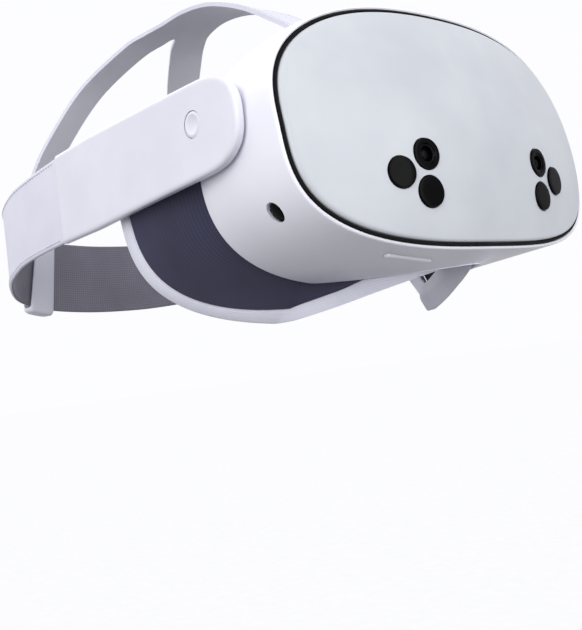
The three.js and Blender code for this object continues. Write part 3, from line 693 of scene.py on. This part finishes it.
def makeArms():
    s = armSizes
    pivot = pivotSizes
    along = np.r_[s["tipY"] + s["round"] * (1 - np.cos(np.linspace(0.03, math.pi / 2, 26))),
                  np.linspace(s["tipY"] + s["round"] + 3, s["endY"] - 3, 30),
                  s["endY"] - np.array([1.5, 0.7, 0.2, 0])]
    across = np.sin(np.linspace(-math.pi / 2, math.pi / 2, 33))
    edge = np.r_[np.c_[along, armHalf(along)], np.c_[along[::-1], -armHalf(along[::-1])]]
    edge = np.vstack([edge, edge[:1]])
    grid = np.array([[(y, armHalf(y) * v) for v in across] for y in along])
    flat = grid.reshape(-1, 2)
    a, b = edge[:-1], edge[1:]
    step = b - a
    share = np.clip(((flat[:, None] - a) * step).sum(2) / np.maximum((step ** 2).sum(1), 1e-9), 0, 1)
    distance = np.linalg.norm(flat[:, None] - (a + share[..., None] * step), axis=2).min(axis=1)
    distance = distance.reshape(grid.shape[:2])
    r = s["bevel"]
    drop = np.where(distance < r, r - np.sqrt(np.clip(r * r - (r - distance) ** 2, 0, None)), 0)
    height = s["thickness"] / 2 - drop * 0.75
    rings = []
    for i, y in enumerate(along):
        outer = [(armX(y) + height[i, j], y, s["z"] + grid[i, j, 1]) for j in range(len(across))]
        inner = [(armX(y) - height[i, j], y, s["z"] + grid[i, j, 1]) for j in reversed(range(len(across)))]
        rings.append(outer + inner)
    arm = loft("strapArm_left", rings, "armAbs", sharp=60)
    carve(arm, [cylinderTool("x", 94.6, 110, pivot["y"], pivot["z"], pivot["capSeat"]),
                cylinderTool("x", 80, 94.9, pivot["y"], pivot["z"], pivot["post"])], 45)
    button = [(0, 95.1), (4.8, 95.1), (5, 95.2), (5, 95.8), (4.7, 96.0), (3.9, 96.1), (3.4, 95.75), (0, 95.7)]
    cap = lathe("armCap_left", button, (0, pivot["y"], pivot["z"]), "x", "armAbs", 48)
    for made, name, cad in ((arm, "strapArm", "strap_arm"), (cap, "armCap", "arm_cap")):
        other = mirrorCopy(made, name + "_right")
        settle(made, "head_strap", "arm_shell", cad + "_left")
        settle(other, "head_strap", "arm_shell", cad + "_right")


def bandPath(count):
    right = [(166, 7.6), (178, 7.6)]
    ends = [(float(armX(y)), y, z) for y, z in right]
    half = ends + [(88.2, 218, 7.2), (86.5, 242, 5), (81.5, 264.5, 0), (69, 281.5, -7),
                   (48.5, 288.8, -12), (24, 291.5, -14.4), (0, 292, -15)]
    whole = [(-x, y, z) for x, y, z in half] + [p for p in reversed(half[:-1])]
    return smoothPath(whole, count)


def bandFrames(path):
    return frames(path, lambda p, t: (-t[1], t[0], 0))


def makeBand():
    path = bandPath(261)
    _, out, up = bandFrames(path)
    length = np.linalg.norm(np.diff(path, axis=0), axis=1).sum()
    rings = []
    for i in range(len(path)):
        s = i / (len(path) - 1) * length
        inTongue = min(s, length - s) < 12.4
        section = flatSection(16.5 if inTongue else bandSizes["half"], bandSizes["thickness"], 1.0)
        rings.append(path[i] + out[i] * section[:, :1] + up[i] * section[:, 1:])
    # the band's rear faces take a darker copy of the webbing: painted shade
    paintedShadeBackFaces = lambda i, j: 7 <= j < 20
    band = loft("rearBand", rings, "webbing", secondRows=paintedShadeBackFaces, second="webbingShadedBack", sharp=60)
    settle(band, "head_strap", "strap_elastic", "rear_band")
    makeSliders(path, out, up, length)


def makeSliders(path, out, up, length):
    s = sliderSizes
    step = length / (len(path) - 1)
    centre = int(np.argmin(np.abs(path[:len(path) // 2 + 1, 0] - s["at"])))
    reach = s["width"] / 2
    offsets = np.r_[np.linspace(-reach, reach, 15), np.linspace(reach, -reach, 15)]
    play, border = s["play"], s["border"]
    rings = []
    for k, offset in enumerate(offsets):
        spot = np.clip(centre + offset / step, 0, len(path) - 1)
        low = int(spot)
        share = spot - low
        p, o, u = [(v[low] * (1 - share) + v[low + 1] * share) for v in (path, out, up)]
        fullness = math.sqrt(max(0.0, 1 - (abs(offset) / reach) ** 4))
        grow = border * (0.35 + 0.65 * fullness) if k < 15 else 0.0
        section = flatSection(bandSizes["half"] + play + grow * 1.05,
                              bandSizes["thickness"] + 2 * (play + grow * 0.6), 1.9, 8)
        rings.append(p + o * section[:, :1] + u * section[:, 1:])
    slider = loft("strapSlider_right", rings, "webbing", wrap=True, sharp=50)
    slider.data.materials[0] = finishes["armAbs"]
    other = mirrorCopy(slider, "strapSlider_left")
    settle(slider, "slider_right", "strap_elastic", "strap_slider_right")
    settle(other, "slider_left", "strap_elastic", "strap_slider_left")


def halfCrownPath():
    strap = [(36.5, 44), (46, 49.4), (56, 52.1), (66, 55.8), (80, 64), (98, 77), (122, 93), (147, 104.5),
             (170, 109.5)]
    w = crownSizes["half"]
    points = [(-w / 2, y, z, w / 2) for y, z in strap]
    points += [(-8.2, 190, 109.2, 8.2), (-11.5, 203, 107.3, 9.3), (-18, 217, 103.2, 9.5), (-31, 243, 88, 9.5),
               (-43, 259, 67, 9.5), (-53, 271.5, 44, 9.5), (-58.5, 281, 15.5, 9.5)]
    return smoothPath(points, 150)


def makeCrown():
    data = halfCrownPath()
    path, half = data[:, :3], data[:, 3]
    headMiddle = np.array([0, 180, 10.0])
    weight = np.clip((path[:, 1] - 150) / 70, 0, 1)[:, None]
    tangent = unit(np.gradient(path, axis=0))
    fromHead = unit(path - headMiddle)
    upright = unit(np.cross(np.tile([1.0, 0, 0], (len(path), 1)), tangent))
    out = unit(upright * (1 - weight) + fromHead * weight)
    side = unit(np.cross(tangent, out))
    out = unit(np.cross(side, tangent))
    side = np.where((side[:, :1] > 0), side, -side)
    columns = np.linspace(-1, 1, 9)
    sheet = []
    for v in columns:
        line = path + side * (half * v)[:, None]
        line[:, 0] = np.minimum(line[:, 0], 0)
        sheet.append(line)
    sheet = np.stack(sheet, axis=1)
    t = crownSizes["thickness"]
    crotch = path[:, 1] < 199
    sheet[crotch, -1, 0] = 0.0
    top = sheet + out[:, None] * t / 2
    low = sheet - out[:, None] * t / 2
    rows, cols = sheet.shape[:2]
    points = np.vstack([top.reshape(-1, 3), low.reshape(-1, 3)])
    mirror = points * np.array([-1, 1, 1])
    shift = rows * cols
    distance = np.r_[0, np.linalg.norm(np.diff(path, axis=0), axis=1).cumsum()]
    uvHalf = np.stack([np.repeat(distance[:, None], cols, 1), columns * half[:, None]], axis=2)
    uvHalf = uvHalf.reshape(-1, 2)
    faces, marks = [], []
    for block, flip in ((0, False), (2 * shift, True)):
        def put(face, mark):
            faces.append([block + f for f in (reversed(face) if flip else face)])
            marks.append(mark)
        for i in range(rows - 1):
            for j in range(cols - 1):
                a = i * cols + j
                put([a, a + 1, a + cols + 1, a + cols], 0)
                # the low side is marked for the lighter copy of the webbing: painted light
                put([shift + a, shift + a + cols, shift + a + cols + 1, shift + a + 1], 1)
            first, last = i * cols, i * cols + cols - 1
            put([first, first + cols, shift + first + cols, shift + first], 0)
            if not (crotch[i] and crotch[i + 1]):
                put([last, shift + last, shift + last + cols, last + cols], 0)
        for row in (0, rows - 1):
            for j in range(cols - 1):
                a = row * cols + j
                put([a, shift + a, shift + a + 1, a + 1], 0)
    crown = makeObject("crownStrap", np.vstack([points, mirror]), faces, "webbing",
                       np.tile(uvHalf, (4, 1)), 60, marks, "crownUndersidePaintedLight")
    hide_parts("top_strap", "crown_branch_right", "crown_branch_left")
    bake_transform(crown)
    return path, out, side, half


# Lenses and shroud.

opticSizes = {
    "spacing": 63.0, "radius": 23.5, "barrel": 26.0, "bore": 21.5, "y": 70.0, "thickness": 4.0,
    "front": 49.0, "domeAngle": 1.2, "domeHeight": 3.0,
}
shroudSizes = {
    "halfWidth": 79, "top": 36, "bottom": 43,
    "openingX": 31.5, "openingWide": 30, "openingTall": 27.5,
}


def makeOptics():
    s = opticSizes
    for side, sign in (("right", -1), ("left", 1)):
        x = sign * s["spacing"] / 2
        radius, b, y = s["radius"], s["barrel"], s["y"]
        rear = y + s["thickness"]
        barrel = [(s["bore"], s["front"]), (b - 0.6, s["front"]), (b, s["front"] + 0.6), (b, rear - 1.2),
                  (b - 0.35, rear - 0.35), (b - 1.2, rear), (radius + 0.9, rear), (radius + 0.45, rear - 0.3),
                  (radius + 0.3, rear - 1), (radius + 0.3, y - 0.3), (s["bore"], y - 0.3)]
        carrier = lathe(f"lensCarrier_{side}", barrel, (x, 0, 0), "y", "blackNylon", 96)
        lug = bevelledBox("lug", (x, 57, 29.5), (12, 8, 10), 0.5, "blackNylon", 2)
        joined = carrier.modifiers.new("lug", "BOOLEAN")
        joined.operation, joined.solver, joined.object = "UNION", "EXACT", lug
        bakeModifiers(carrier)
        bpy.data.objects.remove(lug)
        carve(carrier, [cylinderTool("x", x - 10, x + 10, 57, 31, 1.8, 32)], 40)
        settle(carrier, f"lens_carriage_{side}", "optics_black", f"lens_carrier_{side}")
        full = s["domeAngle"]
        dome = [(radius * math.sin(a) / math.sin(full),
                 rear - s["domeHeight"] * (1 - math.cos(a)) / (1 - math.cos(full)))
                for a in np.linspace(0, full, 14)]
        profile = dome + [(radius, y + 0.1), (radius - 0.5, y), (0, y)]
        glass = lathe(f"lensGlass_{side}", profile, (x, 0, 0), "y", "clearLens", 96)
        settle(glass, f"lens_carriage_{side}", "lens_glass", f"lens_{side}")


def makeShroud():
    s = shroudSizes
    p = outlinePoints(s["halfWidth"], s["top"], s["bottom"],
                      coverSizes["topPower"], coverSizes["bottomPower"], 160)
    profile = ((0.1, 65.0), (0.5, 65.0), (0.985, 65.0), (0.996, 64.8), (1, 64.4), (1, 63.4), (0.99, 63.0),
               (0.5, 63), (0.1, 63))
    rings = [np.c_[p[:, 0] * share, np.full(160, y), p[:, 1] * share] for share, y in profile]
    plate = loft("eyepieceShroud", rings, "blackNylon", sharp=40)
    tools = []
    for sign in (-1, 1):
        angle = np.linspace(0, 2 * math.pi, 96, endpoint=False)
        ring = np.c_[sign * s["openingX"] + s["openingWide"] * np.cos(angle), np.zeros(96),
                     s["openingTall"] * np.sin(angle)]
        tools.append(loft("cutter", [ring + (0, 58, 0), ring + (0, 70, 0)], "blackNylon"))
    tools.append(boxTool((0, 57, 31), (124, 3.6, 3.6), 0.2))
    carve(plate, tools, 40)
    settle(plate, "visor", "optics_black", "eyepiece_shroud")


# Stitches, repeated along their lines by Geometry Nodes.

def stitchTree():
    tree = bpy.data.node_groups.new("stitchesAlongPath", "GeometryNodeTree")
    sizes = {"Spacing": 0.0032, "Length": 0.0021, "Radius": 0.00028}
    tree.interface.new_socket("Path", in_out="INPUT", socket_type="NodeSocketGeometry")
    for name, value in sizes.items():
        tree.interface.new_socket(name, in_out="INPUT", socket_type="NodeSocketFloat").default_value = value
    tree.interface.new_socket("Material", in_out="INPUT", socket_type="NodeSocketMaterial")
    tree.interface.new_socket("Stitches", in_out="OUTPUT", socket_type="NodeSocketGeometry")
    given = addNode(tree, "NodeGroupInput").outputs
    path = addNode(tree, "GeometryNodeMeshToCurve", {"Mesh": given["Path"]})
    spots = addNode(tree, "GeometryNodeResampleCurve", {
        "Curve": path.outputs["Curve"], "Length": given["Spacing"]}, mode="LENGTH")
    points = addNode(tree, "GeometryNodeCurveToPoints", {"Curve": spots.outputs["Curve"]}, mode="EVALUATED")
    stitch = addNode(tree, "GeometryNodeMeshCylinder", {"Radius": given["Radius"], "Depth": given["Length"]},
                     Vertices=8, Side_Segments=2)
    copies = addNode(tree, "GeometryNodeInstanceOnPoints", {
        "Points": points.outputs["Points"], "Instance": stitch.outputs["Mesh"],
        "Rotation": points.outputs["Rotation"]})
    whole = addNode(tree, "GeometryNodeRealizeInstances", {"Geometry": copies.outputs["Instances"]})
    coloured = addNode(tree, "GeometryNodeSetMaterial", {
        "Geometry": whole.outputs["Geometry"], "Material": given["Material"]})
    addNode(tree, "NodeGroupOutput", {"Stitches": coloured.outputs["Geometry"]})
    return tree


def runStitches(name, tree, lines, finish, **sizes):
    mesh = bpy.data.meshes.new(name)
    points, edges = [], []
    for line in lines:
        start = len(points)
        points += place(line).tolist()
        edges += [(start + k, start + k + 1) for k in range(len(line) - 1)]
    mesh.from_pydata(points, edges, [])
    made = bpy.data.objects.new(name, mesh)
    bpy.context.scene.collection.objects.link(made)
    modifier = made.modifiers.new("stitches", "NODES")
    modifier.node_group = tree
    for item in tree.interface.items_tree:
        if item.in_out == "INPUT" and item.name in sizes:
            modifier[item.identifier] = sizes[item.name]
        if item.in_out == "INPUT" and item.name == "Material":
            modifier[item.identifier] = finishes[finish]
    bakeModifiers(made)
    if not made.data.uv_layers:
        made.data.uv_layers.new(name="cloth")
    made.data.polygons.foreach_set("use_smooth", [True] * len(made.data.polygons))
    return made


def makeStitches(crownLine):
    tree = stitchTree()
    path, out, side, half = crownLine
    lift = out * (crownSizes["thickness"] / 2 + 0.08)
    outerEdge = path - side * (half - 1.8)[:, None] + lift
    innerEdge = path + side * (half - 1.8)[:, None] + lift
    branch = path[:, 1] > 206
    lines = [outerEdge[8:-4], innerEdge[branch][:-4]]
    lines += [line * np.array([-1, 1, 1]) for line in lines]
    stitches = runStitches("crownStitches", tree, lines, "thread")
    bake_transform(stitches)
    band = bandPath(261)
    _, bandOut, bandUp = bandFrames(band)
    edges = [(band + bandOut * 1.18 + bandUp * sign * (bandSizes["half"] - 1.8))[12:-12] for sign in (-1, 1)]
    settle(runStitches("bandStitches", tree, edges, "thread"), "head_strap", "strap_elastic")


# Stage, light and camera.

def paperFloor():
    # pale paper that shines by itself, so that it runs into the backdrop without a line
    material, tree, bsdf, where = startMaterial("pale backdrop paper", 0.95)
    fibre = addNode(tree, "ShaderNodeTexNoise", {"Vector": where}, Scale=40.0)
    bsdf.inputs["Base Color"].default_value = linear("#000000")
    bsdf.inputs["Specular IOR Level"].default_value = 0.0
    tree.links.new(twoTone(tree, fibre.outputs["Fac"], "#fbfbfd", "#fdfdff"), bsdf.inputs["Emission Color"])
    bsdf.inputs["Emission Strength"].default_value = 1.0
    return material


def makeStage():
    floor = bpy.data.meshes.new("floor")
    floor.from_pydata([(-60, -60, -0.4), (60, -60, -0.4), (60, 60, -0.4), (-60, 60, -0.4)], [], [(0, 1, 2, 3)])
    floor.materials.append(paperFloor())
    ground = bpy.data.objects.new("floor", floor)
    bpy.context.scene.collection.objects.link(ground)
    ground.visible_diffuse = False
    makeSky()
    lights = (("keyLight", (-1.5, -0.6, 0.4), 13.5, 1.2), ("frontLight", (0.2, -1.6, 0.35), 12, 1.2),
              ("rearLight", (-0.2, 1.4, 1.1), 7, 1.0))
    for name, spot, power, size in lights:
        lamp = bpy.data.lights.new(name, "AREA")
        lamp.energy, lamp.size = power, size
        made = bpy.data.objects.new(name, lamp)
        made.location = spot
        made.rotation_mode = "QUATERNION"
        made.rotation_quaternion = (Vector((0, 0, 0.1)) - Vector(spot)).to_track_quat("-Z", "Y")
        bpy.context.scene.collection.objects.link(made)


def makeSky():
    # soft light from above that fades below the horizon, behind a plain white backdrop
    world = bpy.data.worlds.new("studio")
    bpy.context.scene.world = world
    world.use_nodes = True
    tree = world.node_tree
    backdrop = tree.nodes["Background"]
    backdrop.inputs["Color"].default_value = linear("#fdfdff")
    where = addNode(tree, "ShaderNodeTexCoord").outputs["Generated"]
    height = addNode(tree, "ShaderNodeSeparateXYZ", {"Vector": where}).outputs["Z"]
    share = addNode(tree, "ShaderNodeMapRange", {"Value": height})
    share.inputs["From Min"].default_value = -0.7
    share.inputs["From Max"].default_value = 0.7
    fade = twoTone(tree, share.outputs["Result"], "#707078", "#f0f0f6", 0.1, 0.8)
    glow = addNode(tree, "ShaderNodeBackground", {"Color": fade})
    glow.inputs["Strength"].default_value = 1.0
    seen = addNode(tree, "ShaderNodeLightPath").outputs["Is Camera Ray"]
    mixed = addNode(tree, "ShaderNodeMixShader", {0: seen, 1: glow.outputs[0], 2: backdrop.outputs[0]})
    tree.links.new(mixed.outputs[0], tree.nodes["World Output"].inputs["Surface"])
    bpy.context.scene.view_settings.view_transform = "Standard"


def makeCamera():
    data = bpy.data.cameras.new("camera")
    camera = bpy.data.objects.new("camera", data)
    bpy.context.scene.collection.objects.link(camera)
    right = Vector((0.75836, -0.63917, -0.12783))
    up = Vector((0.03443, -0.15656, 0.98707))
    back = -Vector((0.65092, 0.75296, 0.09673))
    camera.rotation_mode = "QUATERNION"
    camera.rotation_quaternion = Matrix((right, up, back)).transposed().to_quaternion()
    camera.location = place([[-297.0, -216.34, -86.04]])[0].tolist()
    data.sensor_width = 36.0
    data.lens = 930.8 / 630 * 36
    data.shift_y = -35 / 630
    data.clip_start = 0.01
    bpy.context.scene.camera = camera


makeCover()
makeWindows()
print("cover and windows done")
makeHousing()
makeSideCameras()
makeControls()
print("housing done")
makeSeal()
print("seal done")
makeArms()
makeBand()
crownLine = makeCrown()
print("strap done")
makeOptics()
makeShroud()
makeStitches(crownLine)
print("optics and stitches done")
makeStage()
makeCamera()
